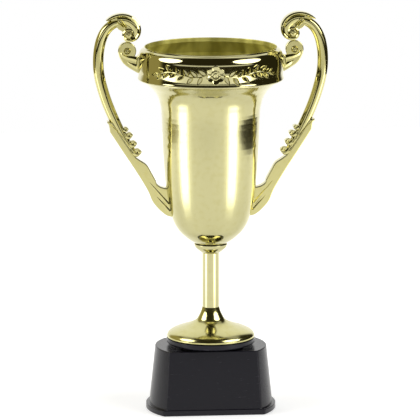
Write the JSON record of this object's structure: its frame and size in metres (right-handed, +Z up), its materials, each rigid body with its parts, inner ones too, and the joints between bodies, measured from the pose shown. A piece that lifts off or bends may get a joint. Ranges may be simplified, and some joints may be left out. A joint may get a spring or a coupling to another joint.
{
  "type": "cup trophy",
  "caption": "Gold-coloured cup trophy with a flared crown band, a floral relief and a scrolled handle on each side, on a slim stem, a round foot and a black flat-fronted base.",
  "frame": {"origin": "middle of the base's underside, on the surface the trophy stands on", "axes": "+Z up along the stem, -Y towards the front flat of the base, X through the two handles"},
  "size_m": [0.1296, 0.0806, 0.2216],
  "materials": {
    "gold_plating": "vacuum-metallised champagne gold, mirror smooth",
    "black_plastic": "moulded black plastic, satin sides and glossy top",
    "zinc_plated_steel": "zinc plated threaded hardware"
  },
  "bodies": {
    "root": {"foot": "gold_plating", "stem": "gold_plating", "knuckle": "gold_plating", "bowl": "gold_plating", "crown_band": "gold_plating", "handle_left": "gold_plating", "handle_right": "gold_plating", "base": "black_plastic", "riser_disc": "black_plastic", "bowl_washer": "zinc_plated_steel", "bowl_nut": "zinc_plated_steel", "base_washer": "zinc_plated_steel", "base_nut": "zinc_plated_steel", "tie_rod": "zinc_plated_steel"}
  },
  "joints": []
}
